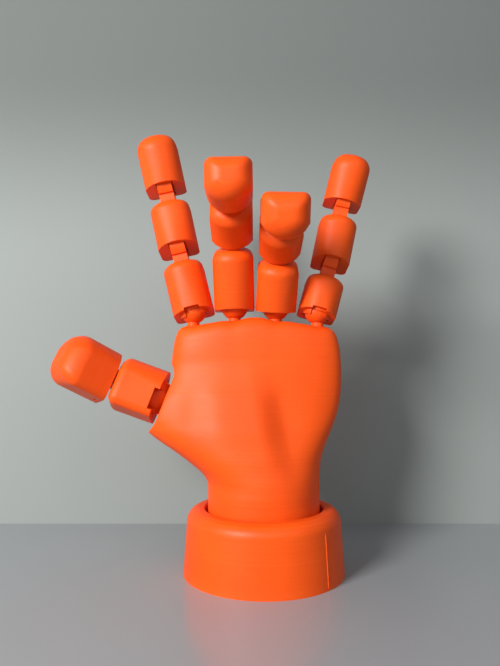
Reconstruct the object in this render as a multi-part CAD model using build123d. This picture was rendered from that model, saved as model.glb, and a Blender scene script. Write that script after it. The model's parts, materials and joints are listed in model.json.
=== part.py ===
from build123d import *
import math
import os

# Poseable mannequin hand (a left hand, palm towards -Y) standing in a round base ring.
# Millimetres, +Z up, origin at the centre of the base's underside, +X to the little-finger side.
# "Front" is the palm side (-Y), "back" is +Y. A frame is a 3 x 3 rotation matrix whose columns
# are the local X, Y and Z; local Z runs along a phalanx towards its tip.

os.makedirs("parts", exist_ok=True)

# ---- clearances ----------------------------------------------------------
RUN = 0.06               # running clearance on radius
PRESS = 0.01             # on the radius of the fixed pin and plug bores
STUD_FIT = 0.02          # on the radius of the stud bores

# ---- base and wrist ------------------------------------------------------
BASE_R = 40.5            # base radius at the table
BASE_TOP_R = 38.4        # base radius just below the rounded shoulder
BASE_H = 32.0
BASE_FILLET = 6.3        # rounded outer shoulder
WELL_R = 29.8            # well that takes the wrist
RIM_CHAMFER = 0.7        # lead-in at the well's mouth
FLOOR_T = 6.0            # base floor thickness
WRIST_R = 28.3
WRIST_GAP = 0.5          # wrist end above the base floor
PLUG_R = 8.0             # wrist pivot plug
PLUG_L = 29.0
PLUG_Z = 0.4             # plug's underside above the table
FLANGE_R = 12.0
FLANGE_T = 2.6
FLANGE_GAP = 0.5         # flange recess larger than the flange, in radius and depth
PLUG_BORE_MID_Z = 18.0   # plug bore in the wrist
PLUG_BORE_L = 30.0

# ---- phalanges, for a finger of size 1 -------------------------------------
SEC_W = 10.3             # half width
SEC_F = 10.3             # centre to palmar face
SEC_B = 9.2              # centre to flat back
SEC_RF = 11.2            # palmar arc radius
SEC_RC = 3.2             # back corner radius
FACETS = 7               # shallow flats that make up the palmar arc
TOP_FILLET = 5.4         # rounded upper shoulder
TIP_FILLET = 8.0         # rounded fingertip
BLANK_DROP = 14.0        # blank starts this far below its ball or pivot
MID_L = 33.5             # middle phalanx, pivot to pivot (same for every size)

# ---- hinges ----------------------------------------------------------------
PIV_Y = 3.5              # pivot behind the lower ball's centre and the upper section's centre
PIV_GAP = 10.0           # pivot above the top face of the lower phalanx
EDGE_Z = 0.9             # palmar edge of the upper phalanx above the pivot
BEVEL = 16.0             # slant of an upper phalanx's underside
TONGUE_W = 7.6
TONGUE_ROOT = 3.0        # tongue sunk into the phalanx it stands on
TONGUE_BACK_Y = 3.4      # back face behind the pivot
TONGUE_BACK_R = 3.9      # rounded top behind the knuckle, about the pivot
TONGUE_BACK_ARC = (-2.6, 0.5)   # y where that arc starts, and of its middle point
KNUCKLE_R = 11.0
KNUCKLE_Z = (-5.7, 0.4)  # bottom and top of the knuckle arc, in front of the pivot
NECK_Y = 8.1             # neck's face in front of the pivot
NECK_Z = -6.0            # neck's upper end
SLOT_W = 8.6
SLOT_R = 11.6
SLOT_BACK_Y = 4.0
SLOT_TOP_Z = 9.9
PIN_R = 1.5
PIN_HALF = 9.5

# ---- ball joints -------------------------------------------------------------
BALL_R = 7.0
LINER_T = 0.85
LINER_RIM_Z = -2.7       # open end of the liner
LINER_SLOT_Z = 0.2       # top of the liner's front slot
STUD_R = 3.2
STUD_FOOT_Z = 115.0      # lower end of the finger studs
BORE_GAP = 0.3           # stud bore deeper than the stud
BORE_L = 20.0
SOCKET_SHIFT = 0.5       # section centre in front of the ball
SOCKET_EDGE_Z = -2.2     # underside of the phalanx at the ball's axis
SOCKET_SLOT_HALF = 3.9   # slot in the front that lets the phalanx bend over the neck
SOCKET_SLOT_Z = 0.7      # top of that slot

# ball centre x, z; proximal length (ball to top face); leans and tilts towards the palm side
# of the three phalanges (degrees); size; distal length; slant of the proximal's underside
FINGERS = {
    "index": ((-36.3, 131.9), 25.8, (-14.0, -12.3, -12.0), (-5.0, -0.5, 8.0), 1.0, 26.0, 10.0),
    "middle": ((-15.0, 134.0), 30.0, (-1.4, -1.0, -1.0), (20.0, 67.0, 91.0), 1.0, 27.5, 20.0),
    "ring": ((6.3, 133.6), 25.0, (2.6, 1.0, 1.0), (29.0, 76.0, 104.0), 1.0, 27.5, 20.0),
    "little": ((27.8, 131.2), 18.9, (15.5, 12.0, 13.5), (-7.0, -3.0, 11.0), 0.94, 24.3, 10.0),
}

# ---- thumb: its section and ball joint are scaled, its hinge is size 1 ---------
THUMB_SIZE = 1.36
THUMB_BALL = (-55.9, 0.0, 87.9)
THUMB_L = 27.0           # proximal, ball to hinge pivot
THUMB_TIP_L = 26.5
THUMB_PIV_Y = 0.6        # as PIV_Y
THUMB_GAP = 6.2          # as PIV_GAP
THUMB_FRONT = 14.1       # section centre to the palmar edge of the distal
THUMB_SHOULDER = 4.2     # rounded upper shoulder of the proximal
THUMB_TIP_FILLET = 10.0
THUMB_SLANTS = (6.0, 14.0)   # undersides of the proximal and distal
THUMB_PIN_HALF = 11.6
THUMB_STUD_L = 27.0
THUMB_RISE = 20.5        # thumb axis above the horizontal
THUMB_OUT = 5.0          # proximal turned towards the palm side
THUMB_BEND = 29.0        # distal bent on from there
THUMB_ROLL = 20.0        # hinge rolled about the thumb, so the tip rises as it bends
THUMB_TURN = 105.0       # section turned about the thumb

# ---- palm ----------------------------------------------------------------------
PALM_TOP = 125.8
STUD_FLAT_Z = PALM_TOP + 0.05   # flat under a ball that would reach into the palm
POCKET_R = 18.2          # round pocket that clears the thumb
POCKET_D = 6.4           # pocket floor below the thumb ball's centre
POCKET_FILLET = 3.5
POCKET_L = 60.0
BALL_CLEARANCE = 1.5     # hollow around the thumb ball
OUTLINE_POINTS = 720
SPLINE_POINTS = 52

# z, left x, right x, front depth, back depth, squareness (superellipse exponent)
PALM_ROWS = [
    (41.0, -WRIST_R, WRIST_R, WRIST_R, WRIST_R, 2.0),
    (45.0, -28.7, 28.3, 27.7, 27.7, 2.0),
    (49.0, -31.0, 28.35, 26.5, 26.3, 2.04),
    (54.5, -37.4, 28.8, 24.2, 23.7, 2.1),
    (60.0, -44.9, 30.2, 21.8, 20.8, 2.2),
    (66.0, -54.0, 32.4, 19.4, 18.3, 2.3),
    (72.0, -61.2, 34.9, 17.5, 16.5, 2.4),
    (78.0, -64.2, 37.1, 15.9, 15.2, 2.45),
    (85.0, -61.5, 38.8, 14.8, 14.4, 2.5),
    (92.0, -55.0, 39.6, 14.0, 13.8, 2.6),
    (99.0, -49.6, 39.8, 13.5, 13.4, 2.7),
    (106.0, -47.3, 39.7, 13.2, 13.1, 2.8),
    (113.0, -46.6, 39.2, 13.0, 12.8, 2.9),
    (119.0, -45.6, 38.2, 12.5, 12.3, 2.9),
    (122.6, -44.4, 36.9, 11.4, 11.3, 2.85),
    (124.8, -42.9, 35.0, 9.4, 9.3, 2.8),
    (PALM_TOP, -40.3, 32.2, 6.4, 6.4, 2.7),
]
# heights of the lofted sections
PALM_LEVELS = [
    FLOOR_T + WRIST_GAP, 41.0, 43.0, 45.0, 47.0, 49.0, 51.5, 54.0, 56.5, 59.0, 61.5, 64.0,
    66.5, 69.0, 71.5, 74.0, 76.5, 79.0, 81.5, 84.0, 87.0, 90.0, 93.0, 96.0, 99.0, 102.5,
    106.0, 109.5, 113.0, 116.0, 118.5, 120.7, 122.4, 123.7, 124.7, 125.4, PALM_TOP,
]
# z, height of the thumb's mound
MOUND = [
    (34, 0.0), (42, 0.0), (50, 1.0), (60, 3.2), (74, 5.0),
    (86, 4.2), (96, 1.9), (106, 0.35), (118, 0.0), (126, 0.0),
]
# z, depth of the hollow on the mound's thumb side
HOLLOW = [(48, 0.0), (60, 0.3), (76, 1.4), (86, 1.4), (100, 0.3), (112, 0.0)]


# ---- frames and placing ----------------------------------------------------
def cos_sin(degrees):
    return math.cos(math.radians(degrees)), math.sin(math.radians(degrees))


def rot_x(degrees):
    c, s = cos_sin(degrees)
    return ((1, 0, 0), (0, c, -s), (0, s, c))


def rot_y(degrees):
    c, s = cos_sin(degrees)
    return ((c, 0, s), (0, 1, 0), (-s, 0, c))


def rot_z(degrees):
    c, s = cos_sin(degrees)
    return ((c, -s, 0), (s, c, 0), (0, 0, 1))


def combine(a, b):
    return tuple(
        tuple(sum(a[i][k] * b[k][j] for k in range(3)) for j in range(3)) for i in range(3)
    )


def column(frame, j):
    return tuple(row[j] for row in frame)


def world_point(origin, frame, local):
    return tuple(origin[i] + sum(frame[i][k] * local[k] for k in range(3)) for i in range(3))


def place(shape, origin, frame):
    """Move the shape's local origin to origin and turn it into the frame."""
    plane = Plane(origin=origin, x_dir=column(frame, 0), z_dir=column(frame, 2))
    return plane.location * shape


def cyl_x(radius, half):
    return Rot(0, 90, 0) * Cylinder(radius, 2 * half)


def slab(x0, x1, y0, y1, z0, z1):
    return Pos((x0 + x1) / 2, (y0 + y1) / 2, (z0 + z1) / 2) * Box(x1 - x0, y1 - y0, z1 - z0)


def save(shape, name):
    """Export the largest solid; cuts can leave loose slivers."""
    solid = sorted(shape.solids(), key=lambda s: s.volume)[-1]
    solid.label = name
    export_step(solid, f"parts/{name}.step")


# ---- phalanges ---------------------------------------------------------------
def finger_section(size, turn):
    """Flat back with round corners, faceted arc on the palm side."""
    w, back = SEC_W * size, SEC_B * size
    arc_r, corner_r = SEC_RF * size, SEC_RC * size
    arc_y = -SEC_F * size + arc_r
    side_y = arc_y - math.sqrt(arc_r * arc_r - w * w)
    inset = corner_r * (1 - math.sqrt(0.5))
    half = math.asin(w / arc_r)
    angles = [half * (2 * i / FACETS - 1) for i in range(FACETS + 1)]
    with BuildSketch() as sketch:
        with BuildLine():
            Polyline(*[(arc_r * math.sin(t), arc_y - arc_r * math.cos(t)) for t in angles])
            Line((w, side_y), (w, back - corner_r))
            ThreePointArc((w, back - corner_r), (w - inset, back - inset), (w - corner_r, back))
            Line((w - corner_r, back), (-w + corner_r, back))
            ThreePointArc(
                (-w + corner_r, back), (-w + inset, back - inset), (-w, back - corner_r)
            )
            Line((-w, back - corner_r), (-w, side_y))
        make_face()
    return Rot(0, 0, turn) * sketch.sketch


def blank(size, centre_y, top, edge_r, turn):
    """Straight prism with its upper edge rounded."""
    bottom = -BLANK_DROP * size
    body = Pos(0, centre_y, bottom) * extrude(finger_section(size, turn), top - bottom)
    return fillet(body.faces().sort_by(Axis.Z)[-1].edges(), edge_r)


def below_slant(y, z, slant, big=90):
    """Everything below a plane through (y, z) that falls towards the back."""
    return Pos(0, y, z) * Rot(-slant, 0, 0) * Pos(0, 0, -big / 2) * Box(big, big * 2, big)


def socket_phalanx(ball, frame, size, top, edge_r, slant, turn=0.0):
    """Proximal phalanx before its joints are cut; its local origin is the ball centre."""
    body = blank(size, -SOCKET_SHIFT * size, top, edge_r, turn)
    return place(body - below_slant(0, SOCKET_EDGE_Z * size, slant), ball, frame)


def hinge_phalanx(pivot, frame, size, top, edge_r, pivot_y, front, slant=BEVEL, turn=0.0):
    """Middle or distal phalanx before its joints are cut; its local origin is the pivot."""
    body = blank(size, -pivot_y, top, edge_r, turn)
    return place(body - below_slant(-front - pivot_y, EDGE_Z * size, slant), pivot, frame)


def tongue(size, gap):
    """Hinge tongue around its pivot, the plane x = 0 in its middle."""
    def on_arc(radius, along):
        return math.sqrt(radius * radius - along * along)

    knuckle_r, back_r = KNUCKLE_R * size, TONGUE_BACK_R * size
    low_z, high_z = (z * size for z in KNUCKLE_Z)
    start_y, mid_y = (y * size for y in TONGUE_BACK_ARC)
    mid_z = (low_z + high_z) / 2
    neck_y, back_y = -NECK_Y * size, TONGUE_BACK_Y * size
    neck_top = (neck_y, NECK_Z * size)
    knuckle_low = (-on_arc(knuckle_r, low_z), low_z)
    knuckle_high = (-on_arc(knuckle_r, high_z), high_z)
    back_start = (start_y, on_arc(back_r, start_y))
    back_end = (back_y, on_arc(back_r, back_y))
    bottom = -gap - TONGUE_ROOT * size
    with BuildSketch(Plane.YZ) as sketch:
        with BuildLine():
            Line((neck_y, bottom), neck_top)
            Line(neck_top, knuckle_low)
            ThreePointArc(knuckle_low, (-on_arc(knuckle_r, mid_z), mid_z), knuckle_high)
            Line(knuckle_high, back_start)
            ThreePointArc(back_start, (mid_y, on_arc(back_r, mid_y)), back_end)
            Line(back_end, (back_y, bottom))
            Line((back_y, bottom), (neck_y, bottom))
        make_face()
    return extrude(sketch.sketch, TONGUE_W * size / 2, both=True)


def add_tongue(body, pivot, frame, size, gap=PIV_GAP):
    body = body + place(tongue(size, gap), pivot, frame)
    return body - place(cyl_x(PIN_R + RUN, TONGUE_W * size), pivot, frame)


def cut_socket(body, ball, frame, size):
    """Room for the ball with its liner, and a slot in the front for the stud's neck."""
    half = SOCKET_SLOT_HALF * size
    body = body - place(Sphere(BALL_R * size + RUN + LINER_T + RUN), ball, frame)
    slot = slab(-half, half, -30, 0, -BLANK_DROP * size, SOCKET_SLOT_Z * size)
    return body - place(slot, ball, frame)


def cut_hinge(body, pivot, frame, size):
    """Room for the tongue of the phalanx below, and the pin bore."""
    half, back, far = SLOT_W * size / 2, SLOT_BACK_Y * size, -20 * size
    slot = cyl_x(SLOT_R * size, half) & slab(-half, half, far, back, far, SLOT_TOP_Z * size)
    slot = slot + slab(-half, half, -(SLOT_R - 0.1) * size, back, far, 0)
    body = body - place(slot, pivot, frame)
    return body - place(cyl_x(PIN_R + PRESS, 30), pivot, frame)


# ---- ball joint pieces -----------------------------------------------------------
def stud(ball, axis, ball_r, neck_r, length, flat=None):
    """Ball on a straight neck; axis points from the neck into the ball.
    flat: height of the flat under the ball, relative to its centre."""
    neck = Pos(0, 0, -length / 2) * Cylinder(neck_r, length)
    head = Sphere(ball_r)
    if flat is not None and flat > -ball_r:
        head = head - Pos(0, 0, flat - 20) * Box(40, 40, 40)
    plane = Plane(origin=ball, x_dir=(0, 1, 0), z_dir=axis)
    return plane.location * (neck + head)


def liner(ball, frame, size):
    """Thin spherical socket lining, open towards the neck and slotted in front."""
    inner_r = BALL_R * size + RUN
    half = SOCKET_SLOT_HALF * size
    shell = Sphere(inner_r + LINER_T) - Sphere(inner_r)
    shell = shell - slab(-20, 20, -20, 20, -20, LINER_RIM_Z * size)
    shell = shell - slab(-half, half, -20, 0, -BLANK_DROP * size, LINER_SLOT_Z * size)
    return place(shell, ball, frame)


# ---- fingers -----------------------------------------------------------------------
def build_finger(name, ball_xz, proximal_l, leans, tilts, size, tip_l, slant):
    ball = (ball_xz[0], 0.0, ball_xz[1])
    frames = [combine(rot_y(lean), rot_x(tilt)) for lean, tilt in zip(leans, tilts)]
    # a hinge slot leans with the phalanx below and tilts with its own
    slots = [combine(rot_y(leans[i]), rot_x(tilts[i + 1])) for i in range(2)]
    knuckle = world_point(ball, frames[0], (0, PIV_Y * size, proximal_l + PIV_GAP))
    tip_joint = world_point(knuckle, frames[1], (0, 0, MID_L))
    shoulder_r = TOP_FILLET * size
    pivot_y, front = PIV_Y * size, SEC_F * size

    body = socket_phalanx(ball, frames[0], size, proximal_l, shoulder_r, slant)
    body = add_tongue(body, knuckle, frames[0], size)
    save(cut_socket(body, ball, frames[0], size), f"{name}_proximal_phalanx")

    body = hinge_phalanx(
        knuckle, frames[1], size, MID_L - PIV_GAP, shoulder_r, pivot_y, front
    )
    body = add_tongue(body, tip_joint, frames[1], size)
    save(cut_hinge(body, knuckle, slots[0], size), f"{name}_middle_phalanx")

    body = hinge_phalanx(
        tip_joint, frames[2], size, tip_l, TIP_FILLET * size, pivot_y, front
    )
    save(cut_hinge(body, tip_joint, slots[1], size), f"{name}_distal_phalanx")

    pin = cyl_x(PIN_R, PIN_HALF * size)
    save(place(pin, knuckle, frames[0]), f"{name}_knuckle_pin")
    save(place(pin, tip_joint, frames[1]), f"{name}_fingertip_pin")
    ball_stud = stud(
        ball, (0, 0, 1), BALL_R * size, STUD_R, ball[2] - STUD_FOOT_Z, STUD_FLAT_Z - ball[2]
    )
    save(ball_stud, f"{name}_ball_stud")
    save(liner(ball, rot_y(leans[0]), size), f"{name}_socket_liner")


for finger, sizes in FINGERS.items():
    build_finger(finger, *sizes)

# ---- thumb ---------------------------------------------------------------------------
# local X up along the palm plane, Y away from the palm side, Z along the thumb
thumb_frame = rot_y(THUMB_RISE - 90)
thumb_axis = column(thumb_frame, 2)


def build_thumb():
    size, ball = THUMB_SIZE, THUMB_BALL
    proximal = combine(thumb_frame, rot_x(THUMB_OUT))
    hinge = combine(proximal, rot_z(THUMB_ROLL))
    distal = combine(hinge, rot_x(THUMB_BEND))
    knuckle = world_point(ball, proximal, (0, THUMB_PIV_Y, THUMB_L))

    body = socket_phalanx(
        ball, proximal, size, THUMB_L - THUMB_GAP, THUMB_SHOULDER, THUMB_SLANTS[0], THUMB_TURN
    )
    body = add_tongue(body, knuckle, hinge, 1.0, THUMB_GAP)
    save(cut_socket(body, ball, proximal, size), "thumb_proximal_phalanx")

    body = hinge_phalanx(
        knuckle, distal, size, THUMB_TIP_L, THUMB_TIP_FILLET, THUMB_PIV_Y, THUMB_FRONT,
        THUMB_SLANTS[1], THUMB_TURN - THUMB_ROLL,
    )
    save(cut_hinge(body, knuckle, distal, 1.0), "thumb_distal_phalanx")

    save(place(cyl_x(PIN_R, THUMB_PIN_HALF), knuckle, hinge), "thumb_knuckle_pin")
    ball_stud = stud(ball, thumb_axis, BALL_R * size, STUD_R * size, THUMB_STUD_L)
    save(ball_stud, "thumb_ball_stud")
    save(liner(ball, thumb_frame, size), "thumb_socket_liner")


build_thumb()


# ---- palm ------------------------------------------------------------------------------
def table(at, rows, col=1):
    """Smooth curve through a table's column that never overshoots its points."""
    xs, ys = [row[0] for row in rows], [row[col] for row in rows]
    if at <= xs[0]:
        return ys[0]
    if at >= xs[-1]:
        return ys[-1]
    d = [(ys[i + 1] - ys[i]) / (xs[i + 1] - xs[i]) for i in range(len(xs) - 1)]
    inner = [0.0 if a * b <= 0 else 2 * a * b / (a + b) for a, b in zip(d, d[1:])]
    slopes = [d[0]] + inner + [d[-1]]
    i = next(i for i in range(len(d)) if at <= xs[i + 1])
    h = xs[i + 1] - xs[i]
    u = (at - xs[i]) / h
    return ((1 + 2 * u) * (1 - u) ** 2 * ys[i] + u * (1 - u) ** 2 * h * slopes[i]
            + u * u * (3 - 2 * u) * ys[i + 1] + u * u * (u - 1) * h * slopes[i + 1])


def relief(x, z):
    """How far the palmar surface stands forward of the plain section."""
    mound = table(z, MOUND)
    flank_x = 2.5 + (95.0 - z) * 0.17
    u = max(0.0, min(1.0, (x - (flank_x - 7.5)) / 11.0))
    step = 1 - u * u * (3 - 2 * u)
    crest_x = -23.6 + (87.0 - z) * 0.37
    fall = math.exp(-((min(0.0, x - crest_x)) / 26.0) ** 2)
    out = mound * step * fall
    out -= table(z, HOLLOW) * math.exp(-((x + 34.0) / 8.0) ** 2)
    # shallow valley beyond the flank
    out -= mound * 0.25 * math.exp(-((x - flank_x - 6.0) / 7.0) ** 2)
    return out


def palm_outline(z):
    """Superellipse with separate front and back depths, plus the palmar relief."""
    left, right, front, back, squareness = (table(z, PALM_ROWS, col) for col in range(1, 6))
    mid_x, half = (left + right) / 2, (right - left) / 2
    power = 2 / squareness
    points = []
    for i in range(OUTLINE_POINTS):
        angle = 2 * math.pi * i / OUTLINE_POINTS
        c, s = math.cos(angle), math.sin(angle)
        x = mid_x + half * math.copysign(abs(c) ** power, c)
        if s < 0:
            y = -front * abs(s) ** power - relief(x, z) * min(1.0, abs(s) * 1.35)
        else:
            y = back * abs(s) ** power
        points.append((x, y))
    return points


def palm_section(z):
    """Closed spline through points spaced evenly along the outline."""
    points = palm_outline(z)
    run = [0.0]
    for p, q in zip(points, points[1:] + points[:1]):
        run.append(run[-1] + math.hypot(q[0] - p[0], q[1] - p[1]))
    even, j = [], 0
    for i in range(SPLINE_POINTS):
        want = run[-1] * i / SPLINE_POINTS
        while run[j + 1] < want:
            j += 1
        u = (want - run[j]) / (run[j + 1] - run[j])
        p, q = points[j], points[(j + 1) % len(points)]
        even.append((p[0] + (q[0] - p[0]) * u, p[1] + (q[1] - p[1]) * u, z))
    with BuildLine() as line:
        Spline(*even, periodic=True)
    return make_face(line.edges())


def build_palm():
    palm = loft([palm_section(z) for z in PALM_LEVELS], ruled=True)

    at_thumb = Plane(origin=THUMB_BALL, x_dir=(0, 1, 0), z_dir=thumb_axis).location
    pocket = Pos(0, 0, POCKET_L / 2 - POCKET_D) * Cylinder(POCKET_R, POCKET_L)
    pocket = fillet(pocket.faces().sort_by(Axis.Z)[0].edges(), POCKET_FILLET)
    pocket = pocket + Sphere(BALL_R * THUMB_SIZE + BALL_CLEARANCE)
    palm = palm - at_thumb * pocket

    for (ball_x, _), *_ in FINGERS.values():
        bore = Cylinder(STUD_R + STUD_FIT, BORE_L)
        palm = palm - Pos(ball_x, 0, STUD_FOOT_Z - BORE_GAP + BORE_L / 2) * bore
    thumb_bore = Cylinder(STUD_R * THUMB_SIZE + STUD_FIT, BORE_L)
    palm = palm - at_thumb * Pos(0, 0, BORE_L / 2 - THUMB_STUD_L - BORE_GAP) * thumb_bore
    return palm - Pos(0, 0, PLUG_BORE_MID_Z) * Cylinder(PLUG_R + PRESS, PLUG_BORE_L)


save(build_palm(), "palm")


# ---- base ------------------------------------------------------------------------------
def circles(shape, radius):
    return [e for e in shape.edges().filter_by(GeomType.CIRCLE) if abs(e.radius - radius) < 0.01]


def build_base():
    with BuildSketch(Plane.XZ) as sketch:
        with BuildLine():
            Polyline(
                (0, 0), (BASE_R, 0), (BASE_TOP_R, BASE_H), (WELL_R, BASE_H),
                (WELL_R, FLOOR_T), (0, FLOOR_T), (0, 0),
            )
        make_face()
    base = revolve(sketch.sketch, Axis.Z, 360)
    base = fillet(circles(base, BASE_TOP_R), BASE_FILLET)
    mouth = [e for e in circles(base, WELL_R) if abs(e.center().Z - BASE_H) < 0.01]
    base = chamfer(mouth, RIM_CHAMFER)
    base = base - Pos(0, 0, FLOOR_T / 2) * Cylinder(PLUG_R + RUN, FLOOR_T + 4)
    return base - Cylinder(FLANGE_R + FLANGE_GAP, 2 * (FLANGE_T + FLANGE_GAP))


def build_plug():
    shaft = Pos(0, 0, PLUG_Z + PLUG_L / 2) * Cylinder(PLUG_R, PLUG_L)
    return shaft + Pos(0, 0, PLUG_Z + FLANGE_T / 2) * Cylinder(FLANGE_R, FLANGE_T)


save(build_base(), "base_ring")
save(build_plug(), "wrist_pivot_plug")
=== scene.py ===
"""A 3D-printed orange right-angled hand: base ring, wrist, palm, four fingers and a thumb.

It stands upright along +Z on the floor (z = 0). The palm faces the camera, towards -Y (front).
The thumb and index finger are on the -X side, the little finger on the +X side.
Lengths are metres unless a name or comment says millimetres.
"""
import json
import math

import bmesh
import bpy
import numpy as np
from mathutils import Matrix, Vector


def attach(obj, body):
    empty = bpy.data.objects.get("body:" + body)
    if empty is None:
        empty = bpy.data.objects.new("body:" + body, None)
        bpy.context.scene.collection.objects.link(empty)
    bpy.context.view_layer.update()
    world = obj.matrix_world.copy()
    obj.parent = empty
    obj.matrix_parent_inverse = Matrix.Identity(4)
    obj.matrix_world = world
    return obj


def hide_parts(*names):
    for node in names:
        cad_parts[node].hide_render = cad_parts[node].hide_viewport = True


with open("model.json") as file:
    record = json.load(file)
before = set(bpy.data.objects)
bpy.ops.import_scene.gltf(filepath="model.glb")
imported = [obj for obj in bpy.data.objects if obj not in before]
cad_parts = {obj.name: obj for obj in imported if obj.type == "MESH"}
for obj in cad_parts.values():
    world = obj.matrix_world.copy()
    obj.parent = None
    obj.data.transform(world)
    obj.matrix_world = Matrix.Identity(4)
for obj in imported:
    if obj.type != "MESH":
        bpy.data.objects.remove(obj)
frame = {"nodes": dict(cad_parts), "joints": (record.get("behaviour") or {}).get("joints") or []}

FINGERS = ("index", "middle", "ring", "little")
PHALANGES = ("proximal", "middle", "distal")
UP = Vector((0, 0, 1))

# Degrees, one value per phalanx: lean towards +X, then tilt towards the front
FINGER_LEAN_TILT = {
    "index": ((-14.0, -12.3, -12.0), (-5.0, -0.5, 8.0)),
    "middle": ((-1.4, -1.0, -1.0), (20.0, 67.0, 91.0)),
    "ring": ((2.6, 1.0, 1.0), (29.0, 76.0, 104.0)),
    "little": ((15.5, 12.0, 13.5), (-7.0, -3.0, 11.0)),
}
# Degrees: rise above -X, swing to the front, then the distal joint's bend and roll
THUMB_RISE, THUMB_OUT, THUMB_BEND, THUMB_ROLL = 20.5, 5.0, 29.0, 20.0

PHALANX_EDGE = dict(width=0.00028, angle=34.0)
PIN_EDGE = dict(width=0.0002, angle=40.0)
PLUG_EDGE = dict(width=0.0003, angle=40.0)


def rotation(axis, degrees):
    return Matrix.Rotation(math.radians(degrees), 3, axis)


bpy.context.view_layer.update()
scene = bpy.context.scene


# ---------------------------------------------------------------- shader helpers
def feed(node, inputs):
    """Link each input that is given a socket, and set the others to their value."""
    for key, value in inputs.items():
        if isinstance(value, bpy.types.NodeSocket):
            node.id_data.links.new(value, node.inputs[key])
        else:
            node.inputs[key].default_value = value


def add_node(tree, kind, inputs=None, **properties):
    node = tree.nodes.new("ShaderNode" + kind)
    for name, value in properties.items():
        setattr(node, name, value)
    feed(node, inputs or {})
    return node


def calc(tree, operation, a, b):
    return add_node(tree, "Math", {0: a, 1: b}, operation=operation).outputs[0]


def weighted_sum(tree, terms, start=None):
    """Sum of socket * weight, added to `start` if there is one."""
    total = start
    for socket, weight in terms:
        term = calc(tree, "MULTIPLY", socket, weight)
        total = term if total is None else calc(tree, "ADD", total, term)
    return total


def mix_colour(tree, blend, factor, a, b):
    inputs = {"Factor": factor, "A": a, "B": b}
    node = add_node(tree, "Mix", inputs, data_type="RGBA", blend_type=blend)
    return node.outputs["Result"]


def noise_3d(tree, vector, **settings):
    inputs = {"Vector": vector} | {name.title(): value for name, value in settings.items()}
    return add_node(tree, "TexNoise", inputs, noise_dimensions="3D").outputs[0]


# ---------------------------------------------------------------- materials
def printed(name, axis, layer=0.0002, tone=1.0, gloss=0.0):
    """Orange plastic laid down along `axis` in layers `layer` thick.

    `tone` scales the pigment's red and green; `gloss` is taken off the roughness.
    """
    axis = Vector(axis).normalized()
    material = bpy.data.materials.new(name)
    material.use_nodes = True
    tree = material.node_tree
    tree.nodes.clear()
    output = add_node(tree, "OutputMaterial")
    shader = add_node(tree, "BsdfPrincipled")
    feed(output, {"Surface": shader.outputs[0]})
    position = add_node(tree, "TexCoord").outputs["Object"]
    along = add_node(tree, "VectorMath", {0: position, 1: axis},
                     operation="DOT_PRODUCT").outputs["Value"]

    # Rounded bead: 0 where two layers meet, 1 at mid-layer
    layers = calc(tree, "DIVIDE", along, layer)
    layer_number = calc(tree, "FLOOR", layers, 0.5)  # FLOOR ignores its second input
    within = calc(tree, "SUBTRACT", layers, layer_number)
    from_middle = calc(tree, "SUBTRACT", calc(tree, "MULTIPLY", within, 2.0), 1.0)
    bead = calc(tree, "SUBTRACT", 1.0, calc(tree, "MULTIPLY", from_middle, from_middle))
    per_layer = add_node(tree, "TexWhiteNoise", {"W": layer_number},
                         noise_dimensions="1D").outputs["Value"]

    # Groups of layers that sit a little proud or a little deep
    band_place = calc(tree, "MULTIPLY", along, 900.0)
    band = add_node(tree, "TexNoise", {"W": band_place, "Scale": 1.0, "Detail": 3.0},
                    noise_dimensions="1D").outputs[0]

    # Streaks that run round the piece with the bead: noise squeezed along the axis
    squeezed = add_node(tree, "VectorMath", {0: position, 1: (1, 1, 1)},
                        operation="MULTIPLY_ADD")
    shift = add_node(tree, "VectorMath", {0: axis}, operation="SCALE")
    feed(shift, {"Scale": calc(tree, "MULTIPLY", along, 24.0)})
    feed(squeezed, {2: shift.outputs[0]})
    streak = noise_3d(tree, squeezed.outputs[0], scale=190.0, detail=4.0, roughness=0.6)
    cloud = noise_3d(tree, position, scale=34.0, detail=2.0)
    grain = noise_3d(tree, position, scale=2600.0, detail=2.0)

    # One pigment, from deeper and redder to lighter and yellower
    ramp = add_node(tree, "ValToRGB")
    deep, light = ramp.color_ramp.elements
    deep.position = 0.25
    deep.color = (0.80 * tone, 0.066 * tone, 0.0035, 1)
    light.position = 0.78
    light.color = (0.90 * tone, 0.108 * tone, 0.0070, 1)
    shade = weighted_sum(tree, [(cloud, 0.50), (streak, 0.28), (per_layer, 0.10), (band, 0.14)])
    feed(ramp, {0: shade})
    # Painted shade: where two layers meet, the colour is painted a little darker and redder
    groove_shade = calc(tree, "MULTIPLY", calc(tree, "SUBTRACT", 1.0, bead), 0.10)
    colour = mix_colour(tree, "MULTIPLY", groove_shade, ramp.outputs[0], (0.80, 0.45, 0.35, 1))

    # Painted glow: convex edges are painted slightly paler, as if lit through the plastic
    geometry = add_node(tree, "NewGeometry")
    edge = add_node(tree, "MapRange", {
        "Value": geometry.outputs["Pointiness"],
        "From Min": 0.53,
        "From Max": 0.62,
        "To Max": 0.22,
    })
    # Painted highlight: the paler orange is mixed in on convex edges, broken up by the streaks
    edge_glow = calc(tree, "MULTIPLY", edge.outputs[0], streak)
    colour = mix_colour(tree, "MIX", edge_glow, colour, (0.98, 0.20, 0.040, 1))
    feed(shader, {
        "Base Color": colour,
        "Roughness": weighted_sum(tree, [(streak, 0.14), (per_layer, 0.05)], start=0.36 - gloss),
        "IOR": 1.46,
        "Specular IOR Level": 0.26,
        "Subsurface Weight": 0.08,
        "Subsurface Radius": (1.0, 0.28, 0.08),
        "Subsurface Scale": 0.0016,
        "Anisotropic": 0.25,
    })

    height = weighted_sum(tree, [(bead, 0.55), (per_layer, 0.45), (band, 1.1), (streak, 0.7),
                                 (grain, 0.25)])
    bump = add_node(tree, "Bump", {"Strength": 0.55, "Distance": 0.00003, "Height": height})
    feed(shader, {"Normal": bump.outputs[0]})
    return material


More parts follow.
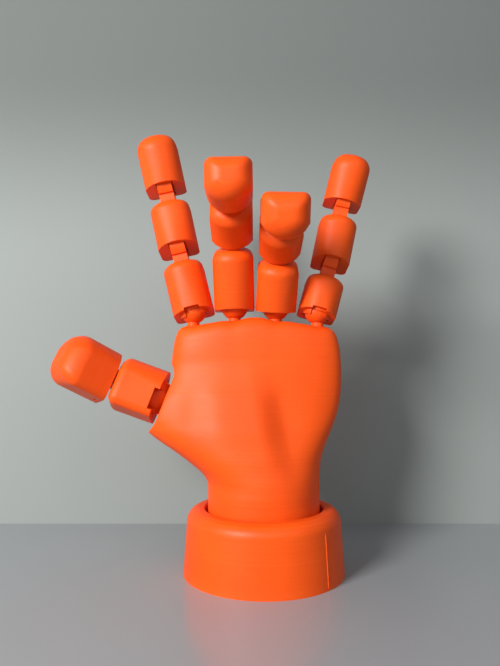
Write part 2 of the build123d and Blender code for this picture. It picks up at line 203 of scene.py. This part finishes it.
def plain(name, colour, roughness, specular):
    """A matt or glossy sheet with a faint mottle; returns the material and its colour socket."""
    mottle = 0.02
    material = bpy.data.materials.new(name)
    material.use_nodes = True
    tree = material.node_tree
    position = add_node(tree, "TexCoord").outputs["Object"]
    noise = add_node(tree, "TexNoise", {"Vector": position, "Scale": 9.0})
    ramp = add_node(tree, "ValToRGB", {0: noise.outputs[0]})
    for element, factor in zip(ramp.color_ramp.elements, (1 - mottle, 1 + mottle)):
        element.color = [c * factor for c in colour] + [1]
    feed(tree.nodes["Principled BSDF"], {
        "Base Color": ramp.outputs[0],
        "Roughness": roughness,
        "Specular IOR Level": specular,
    })
    return material, ramp.outputs[0]


def backdrop_material():
    """Pale wall with painted shade that darkens it towards the top; it can't be seen from
    behind.
    """
    material, colour = plain("wall_pale", (0.285, 0.31, 0.30), roughness=0.85, specular=0.1)
    tree = material.node_tree
    shader = tree.nodes["Principled BSDF"]
    clear = add_node(tree, "BsdfTransparent")
    geometry = add_node(tree, "NewGeometry")
    one_sided = add_node(tree, "MixShader", {
        0: geometry.outputs["Backfacing"],
        1: shader.outputs[0],
        2: clear.outputs[0],
    })
    place = add_node(tree, "SeparateXYZ", {0: geometry.outputs["Position"]})
    # Painted shade: the wall's colour is scaled down from full at z = 0.17 to 0.55 at z = 0.31
    painted_top_shade = add_node(tree, "MapRange", {
        "Value": place.outputs["Z"],
        "From Min": 0.17,
        "From Max": 0.31,
        "To Min": 1.0,
        "To Max": 0.55,
    }, interpolation_type="SMOOTHSTEP")
    tint = add_node(tree, "VectorMath", {0: colour, "Scale": painted_top_shade.outputs[0]}, operation="SCALE")
    feed(shader, {"Base Color": tint.outputs[0]})
    feed(tree.nodes["Material Output"], {"Surface": one_sided.outputs[0]})
    return material


# ---------------------------------------------------------------- finish of the CAD pieces
def soften(piece, width, angle):
    """Merge vertices, round the edges sharper than `angle` degrees and even out the normals."""
    weld = piece.modifiers.new("weld", "WELD")
    weld.merge_threshold = 0.000002
    bevel = piece.modifiers.new("edges", "BEVEL")
    bevel.width = width
    bevel.segments = 3
    bevel.limit_method = "ANGLE"
    bevel.angle_limit = math.radians(angle)
    bevel.harden_normals = False
    bevel.use_clamp_overlap = True
    normals = piece.modifiers.new("normals", "WEIGHTED_NORMAL")
    normals.keep_sharp = False
    normals.weight = 50


def finish_piece(name, material, edge=None):
    piece = frame["nodes"][name]
    piece.data.materials.clear()
    piece.data.materials.append(material)
    if edge:
        soften(piece, **edge)


def finish_pin(digit, place, short_place):
    rod = printed(f"rod_{digit}_{short_place}", (1, 0, 0), layer=0.0004, tone=0.97, gloss=0.08)
    finish_piece(f"{digit}_{place}_pin", rod, PIN_EDGE)


def phalanx_axes(thumb_frame):
    """The direction each phalanx's layers were printed along."""
    axes = {}
    for finger, lean_tilt in FINGER_LEAN_TILT.items():
        for phalanx, lean, tilt in zip(PHALANGES, *lean_tilt):
            axis = rotation("Y", lean) @ rotation("X", tilt) @ UP
            axes[f"{finger}_{phalanx}_phalanx"] = axis
    swung = thumb_frame @ rotation("X", THUMB_OUT)
    axes["thumb_proximal_phalanx"] = swung @ UP
    bent = swung @ rotation("Z", THUMB_ROLL) @ rotation("X", THUMB_BEND)
    axes["thumb_distal_phalanx"] = bent @ UP
    return axes


rise_cos = math.cos(math.radians(THUMB_RISE))
rise_sin = math.sin(math.radians(THUMB_RISE))
thumb_frame = Matrix(((rise_sin, 0, -rise_cos), (0, 1, 0), (rise_cos, 0, rise_sin)))

for name, axis in phalanx_axes(thumb_frame).items():
    finish_piece(name, printed("printed_" + name, axis), PHALANX_EDGE)
for digit in FINGERS + ("thumb",):
    finish_piece(f"{digit}_ball_stud", printed(f"printed_{digit}_stud", UP, tone=0.98))
    finish_piece(f"{digit}_socket_liner", printed(f"printed_{digit}_liner", UP, tone=0.95))
    finish_pin(digit, "knuckle", "knuckle")
    if digit != "thumb":
        finish_pin(digit, "fingertip", "tip")
finish_piece("base_ring", printed("printed_base", UP, gloss=0.04))
finish_piece("wrist_pivot_plug", printed("printed_plug", UP), PLUG_EDGE)

# ---------------------------------------------------------------- palm shape, in millimetres
# z, left edge x, right edge x, front depth, back depth, superellipse exponent
PALM_STATIONS = [
    (41.0, -28.3, 28.3, 28.3, 28.3, 2.0),
    (45.0, -28.7, 28.3, 27.7, 27.7, 2.0),
    (49.0, -31.0, 28.35, 26.5, 26.3, 2.04),
    (54.5, -37.4, 28.8, 24.2, 23.7, 2.1),
    (60.0, -44.9, 30.2, 21.8, 20.8, 2.2),
    (66.0, -54.0, 32.4, 19.4, 18.3, 2.3),
    (72.0, -61.2, 34.9, 17.5, 16.5, 2.4),
    (78.0, -64.2, 37.1, 15.9, 15.2, 2.45),
    (85.0, -61.5, 38.8, 14.8, 14.4, 2.5),
    (92.0, -55.0, 39.6, 14.0, 13.8, 2.6),
    (99.0, -49.6, 39.8, 13.5, 13.4, 2.7),
    (106.0, -47.3, 39.7, 13.2, 13.1, 2.8),
    (113.0, -46.6, 39.2, 13.0, 12.8, 2.9),
    (119.0, -45.6, 38.2, 12.5, 12.3, 2.9),
    (122.6, -44.4, 36.9, 11.4, 11.3, 2.85),
    (124.8, -42.9, 35.0, 9.4, 9.3, 2.8),
    (125.8, -40.3, 32.2, 6.4, 6.4, 2.7),
]
# z, height of the mound at the thumb's root
THUMB_MOUND = [
    (34, 0.0), (42, 0.0), (50, 1.0), (60, 3.2), (74, 5.0),
    (86, 4.2), (96, 1.9), (106, 0.35), (118, 0.0), (126, 0.0),
]
# z, depth of the hollow beside the thumb
THUMB_HOLLOW = [
    (40, 0.0), (48, 0.0), (60, 0.3), (76, 1.4),
    (86, 1.4), (98, 0.35), (112, 0.0), (126, 0.0),
]
FINGER_X = (-36.3, -15.0, 6.3, 27.8)  # dips in the upper edge, index to little
INNER_FINGER_REACH = 20  # the middle and ring fingers lie within this of x = 0
RING_POINTS = 300
OUTLINE_SAMPLES = 2400


def curve(at, places, values):
    """A smooth curve through the points that never overshoots them."""
    if at <= places[0]:
        return values[0]
    if at >= places[-1]:
        return values[-1]
    spans = range(len(places) - 1)
    slopes = [(values[i + 1] - values[i]) / (places[i + 1] - places[i]) for i in spans]
    tangents = [slopes[0]]
    for before, after in zip(slopes, slopes[1:]):
        turns = before * after <= 0
        tangents.append(0.0 if turns else 2 * before * after / (before + after))
    tangents.append(slopes[-1])
    i = next(i for i in spans if at <= places[i + 1])
    span = places[i + 1] - places[i]
    u = (at - places[i]) / span
    return ((1 + 2 * u) * (1 - u) ** 2 * values[i]
            + u * (1 - u) ** 2 * span * tangents[i]
            + u * u * (3 - 2 * u) * values[i + 1]
            + u * u * (u - 1) * span * tangents[i + 1])


def smooth_step(x):
    x = np.clip(x, 0.0, 1.0)
    return x * x * (3 - 2 * x)


def bell(x, centre, width, power=2):
    return np.exp(-((x - centre) / width) ** power)


def relief(x, z):
    """How far the front stands out: thumb mound, its flank, and the hollow by the thumb."""
    flank_x = 2.5 + (95.0 - z) * 0.17
    crest_x = -23.6 + (87.0 - z) * 0.37
    flank = 1 - smooth_step((x - (flank_x - 9.5)) / 15.0)
    fall = np.exp(-((np.minimum(0.0, x - crest_x)) / 26.0) ** 2)
    mound = curve(z, *zip(*THUMB_MOUND))
    out = mound * flank * fall
    out = out - curve(z, *zip(*THUMB_HOLLOW)) * bell(x, -34.0, 8.0)
    # A shallow valley at the foot of the flank
    return out - mound * 0.12 * np.exp(-((x - flank_x - 6.0) / 8.0) ** 2)


def edge_drop(x, y):
    """How far the upper edge falls: it is highest in front, between middle and ring fingers."""
    front = 1.0 - smooth_step((y + 5.5) / 6.0)
    crown = 2.2 * front * bell(x, -4.5, 18.0, power=4)
    drop = 0.0028 * ((x + 6.0) ** 2) * 0.55 - crown
    for finger_x in FINGER_X:
        inner = abs(finger_x) <= INNER_FINGER_REACH
        dip = 0.55 + 0.95 * front if inner else 0.55
        drop = drop + dip * bell(x, finger_x, 5.0)
    return drop


def palm_rings():
    """Horizontal rings of evenly spaced points, from bottom to top, in metres."""
    heights = [
        *np.arange(6.5, 41.0, 2.3),
        *np.arange(41.0, 119.0, 0.8),
        *np.arange(119.0, 125.0, 0.5),
        125.2, 125.5, 125.8,
    ]
    station_z, *station_columns = zip(*PALM_STATIONS)
    angles = np.linspace(0, 2 * math.pi, OUTLINE_SAMPLES, endpoint=False)
    cosine, sine = np.cos(angles), np.sin(angles)
    rings = []
    for z in heights:
        left, right, front, back, exponent = (
            curve(z, station_z, column) for column in station_columns)
        reach = np.abs(sine) ** (2 / exponent)
        x = ((left + right) / 2
             + (right - left) / 2 * np.sign(cosine) * np.abs(cosine) ** (2 / exponent))
        relief_share = np.minimum(1.0, np.abs(sine) * 1.35)
        y = np.where(sine < 0, -front * reach - relief(x, z) * relief_share, back * reach)
        closed_x, closed_y = np.append(x, x[0]), np.append(y, y[0])
        lengths = np.hypot(np.diff(closed_x), np.diff(closed_y))
        run = np.concatenate([[0], np.cumsum(lengths)])
        wanted = np.linspace(0, run[-1], RING_POINTS, endpoint=False)
        ring_x = np.interp(wanted, run, closed_x)
        ring_y = np.interp(wanted, run, closed_y)
        # The drop sets in gradually over the upper part of the palm
        drop_share = float(smooth_step(np.array((z - 86.0) / 39.0)))
        ring_z = z - edge_drop(ring_x, ring_y) * drop_share
        rings.append(np.stack([ring_x, ring_y, ring_z], 1) / 1000.0)
    return rings


# ---------------------------------------------------------------- mesh helpers
def mesh_object(name, verts, faces):
    mesh = bpy.data.meshes.new(name)
    mesh.from_pydata([tuple(v) for v in verts], [], faces)
    mesh.validate()
    mesh.update()
    made = bpy.data.objects.new(name, mesh)
    scene.collection.objects.link(made)
    return made


def shade_smooth(piece):
    for polygon in piece.data.polygons:
        polygon.use_smooth = True


def from_rings(name, rings):
    """Skin over the rings, closed by a fan at each end."""
    n = len(rings[0])
    faces = []
    for r in range(len(rings) - 1):
        a, b = r * n, (r + 1) * n
        for i in range(n):
            j = (i + 1) % n
            faces.append((a + i, a + j, b + j, b + i))
    bottom_centre = len(rings) * n
    top_centre = bottom_centre + 1
    verts = np.concatenate([*rings, rings[0].mean(0)[None], rings[-1].mean(0)[None]])
    top = (len(rings) - 1) * n
    for i in range(n):
        j = (i + 1) % n
        faces.append((j, i, bottom_centre))
        faces.append((top + i, top + j, top_centre))
    return mesh_object(name, verts, faces)


def lathe(name, profile, segments=160):
    """A closed solid of revolution about Z; the (radius, z) profile starts and ends on it."""
    verts, faces = [], []
    for k in range(segments):
        angle = 2 * math.pi * k / segments
        for radius, z in profile[1:-1]:
            verts.append((radius * math.cos(angle), radius * math.sin(angle), z))
    n = len(profile) - 2
    start, end = len(verts), len(verts) + 1
    verts += [(0, 0, profile[0][1]), (0, 0, profile[-1][1])]
    for k in range(segments):
        a, b = k * n, ((k + 1) % segments) * n
        for i in range(n - 1):
            faces.append((a + i, b + i, b + i + 1, a + i + 1))
        faces.append((start, b, a))
        faces.append((a + n - 1, b + n - 1, end))
    solid = mesh_object(name, verts, faces)
    bm = bmesh.new()
    bm.from_mesh(solid.data)
    bmesh.ops.recalc_face_normals(bm, faces=bm.faces)
    bm.to_mesh(solid.data)
    bm.free()
    return solid


def apply_modifiers(piece):
    bpy.context.view_layer.update()
    depsgraph = bpy.context.evaluated_depsgraph_get()
    mesh = bpy.data.meshes.new_from_object(piece.evaluated_get(depsgraph), depsgraph=depsgraph)
    old = piece.data
    piece.modifiers.clear()
    piece.data = mesh
    bpy.data.meshes.remove(old)


def cut(piece, tool):
    boolean = piece.modifiers.new("cut", "BOOLEAN")
    boolean.operation = "DIFFERENCE"
    boolean.solver = "EXACT"
    boolean.object = tool
    apply_modifiers(piece)
    bpy.data.objects.remove(tool)


# ---------------------------------------------------------------- the sculpted palm
POCKET_RADIUS = 0.0182
POCKET_FLOOR = 0.0064  # below the ball's centre
POCKET_FILLET = 0.0035
POCKET_TOP = 0.055
BOWL_RADIUS = 0.01102


def pocket_tool():
    """Cutter for the thumb's pocket: bowl, floor, filleted corner and round wall."""
    profile = [(0, -BOWL_RADIUS)]
    for i in range(1, 10):
        angle = -math.pi / 2 + math.acos(POCKET_FLOOR / BOWL_RADIUS) * i / 10
        profile.append((BOWL_RADIUS * math.cos(angle), BOWL_RADIUS * math.sin(angle)))
    profile.append((math.sqrt(BOWL_RADIUS ** 2 - POCKET_FLOOR ** 2), -POCKET_FLOOR))
    for i in range(9):
        angle = -math.pi / 2 + math.pi / 2 * i / 8
        profile.append((POCKET_RADIUS - POCKET_FILLET + POCKET_FILLET * math.cos(angle),
                        -POCKET_FLOOR + POCKET_FILLET + POCKET_FILLET * math.sin(angle)))
    profile += [(POCKET_RADIUS, POCKET_TOP), (0, POCKET_TOP)]
    tool = lathe("pocket_tool", profile)
    joints = {joint["name"]: joint for joint in frame["joints"]}
    ball = Vector(joints["thumb_swing"]["pos_m"])
    turn = (thumb_frame @ UP).to_track_quat("Z", "Y").to_matrix().to_4x4()
    tool.matrix_world = Matrix.Translation(ball) @ turn
    return tool


def build_palm(rings):
    palm = from_rings("sculpted_palm", rings)
    cut(palm, pocket_tool())
    # An even mesh, then a light smoothing that eases the pocket's rim
    remesh = palm.modifiers.new("even", "REMESH")
    remesh.mode = "VOXEL"
    remesh.voxel_size = 0.0006
    remesh.adaptivity = 0.0
    smooth = palm.modifiers.new("ease", "SMOOTH")
    smooth.factor = 0.5
    smooth.iterations = 6
    apply_modifiers(palm)
    shade_smooth(palm)
    palm.data.materials.clear()
    palm.data.materials.append(printed("printed_palm", UP))
    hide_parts("palm")
    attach(palm, "hand")


rings = palm_rings()
build_palm(rings)


# ---------------------------------------------------------------- layer seams
def seam_bead(name, points, radius, body, material, seed):
    """A thin uneven bead, half sunk in the surface, where each layer starts and stops."""
    rng = np.random.default_rng(seed)
    n, sides = len(points), 8
    verts = []
    for i, (x, y, z) in enumerate(points):
        taper = min(1.0, i / 3.0, (n - 1 - i) / 3.0)
        r = radius * (0.25 + 0.75 * taper) * (0.78 + 0.44 * rng.random())
        offset = (rng.random(2) - 0.5) * radius * 0.5
        for k in range(sides):
            angle = 2 * math.pi * k / sides
            verts.append((x + offset[0] + r * math.cos(angle),
                          y + offset[1] + r * math.sin(angle), z))
    faces = []
    for i in range(n - 1):
        a, b = i * sides, (i + 1) * sides
        for k in range(sides):
            j = (k + 1) % sides
            faces.append((a + k, a + j, b + j, b + k))
    faces.append(tuple(range(sides))[::-1])
    faces.append(tuple((n - 1) * sides + k for k in range(sides)))
    seam = mesh_object(name, verts, faces)
    shade_smooth(seam)
    seam.data.materials.append(material)
    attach(seam, body)


def base_seam_points():
    """Up the tapering base ring, at the front on the +X side."""
    angle = math.radians(-43.8)
    points = []
    for z in np.arange(0.0006, 0.0262, 0.0004):
        radius = 0.0405 - 0.0021 * z / 0.032
        points.append((radius * math.cos(angle), radius * math.sin(angle), z))
    return points


def wrist_seam_points(rings):
    """Up the front of the wrist: each ring's point nearest to one x."""
    seam_x = 0.0268
    points = []
    for ring in rings:
        if 0.0325 < ring[0][2] < 0.0560:
            front = ring[ring[:, 1] < 0]
            nearest = int(np.argmin(np.abs(front[:, 0] - seam_x)))
            points.append(tuple(float(c) for c in front[nearest]))
    return points


seam_material = printed("printed_seam", UP)
seam_bead("base_seam", base_seam_points(), 0.00030, "base", seam_material, seed=3)
seam_bead("wrist_seam", wrist_seam_points(rings), 0.00026, "hand", seam_material, seed=5)

# ---------------------------------------------------------------- floor and backdrop
SHEET = 3  # reach of the floor and the backdrop
WALL_Y = 0.090
WALL_FOOT = -0.01


def sheet(name, corners, material):
    made = mesh_object(name, corners, [(0, 1, 2, 3)])
    made.data.materials.append(material)
    return made


floor_material, _ = plain("floor_pale", (0.30, 0.315, 0.33), roughness=0.20, specular=0.5)
wall_material = backdrop_material()
around = [(-SHEET, -SHEET), (SHEET, -SHEET), (SHEET, SHEET), (-SHEET, SHEET)]
floor = sheet("floor", [(x, y, 0) for x, y in around], floor_material)
across = [(-SHEET, WALL_FOOT), (SHEET, WALL_FOOT), (SHEET, SHEET), (-SHEET, SHEET)]
wall = sheet("backdrop", [(x, WALL_Y, z) for x, z in across], wall_material)


# ---------------------------------------------------------------- light and camera
def area_light(name, location, target, size, power, colour):
    light = bpy.data.lights.new(name, "AREA")
    light.shape = "DISK"
    light.size = size
    light.energy = power
    light.color = colour
    lamp = bpy.data.objects.new(name, light)
    scene.collection.objects.link(lamp)
    lamp.location = location
    lamp.rotation_mode = "QUATERNION"
    aim = Vector(target) - Vector(location)
    lamp.rotation_quaternion = aim.to_track_quat("-Z", "Y")


area_light("key", location=(-0.58, -0.72, 0.46), target=(0.0, 0.0, 0.11),
           size=0.34, power=14.0, colour=(1.0, 0.99, 0.97))
area_light("fill", location=(0.40, -1.0, 0.75), target=(0.0, 0.0, 0.1),
           size=1.0, power=3.0, colour=(0.95, 0.97, 1.0))

world = bpy.data.worlds.new("studio")
scene.world = world
world.use_nodes = True
feed(world.node_tree.nodes["Background"], {"Color": (0.86, 0.89, 0.92, 1), "Strength": 0.26})
scene.view_settings.view_transform = "Standard"
scene.view_settings.look = "None"
scene.view_settings.exposure = 0.0

lens = bpy.data.cameras.new("camera")
lens.sensor_width = 36.0
lens.lens = 32.432432
lens.clip_start = 0.01
lens.clip_end = 20.0
camera = bpy.data.objects.new("camera", lens)
scene.collection.objects.link(camera)
camera.location = (-0.00702, -0.3097, 0.1033)
camera.rotation_euler = (math.radians(93.14), 0, 0)
scene.camera = camera
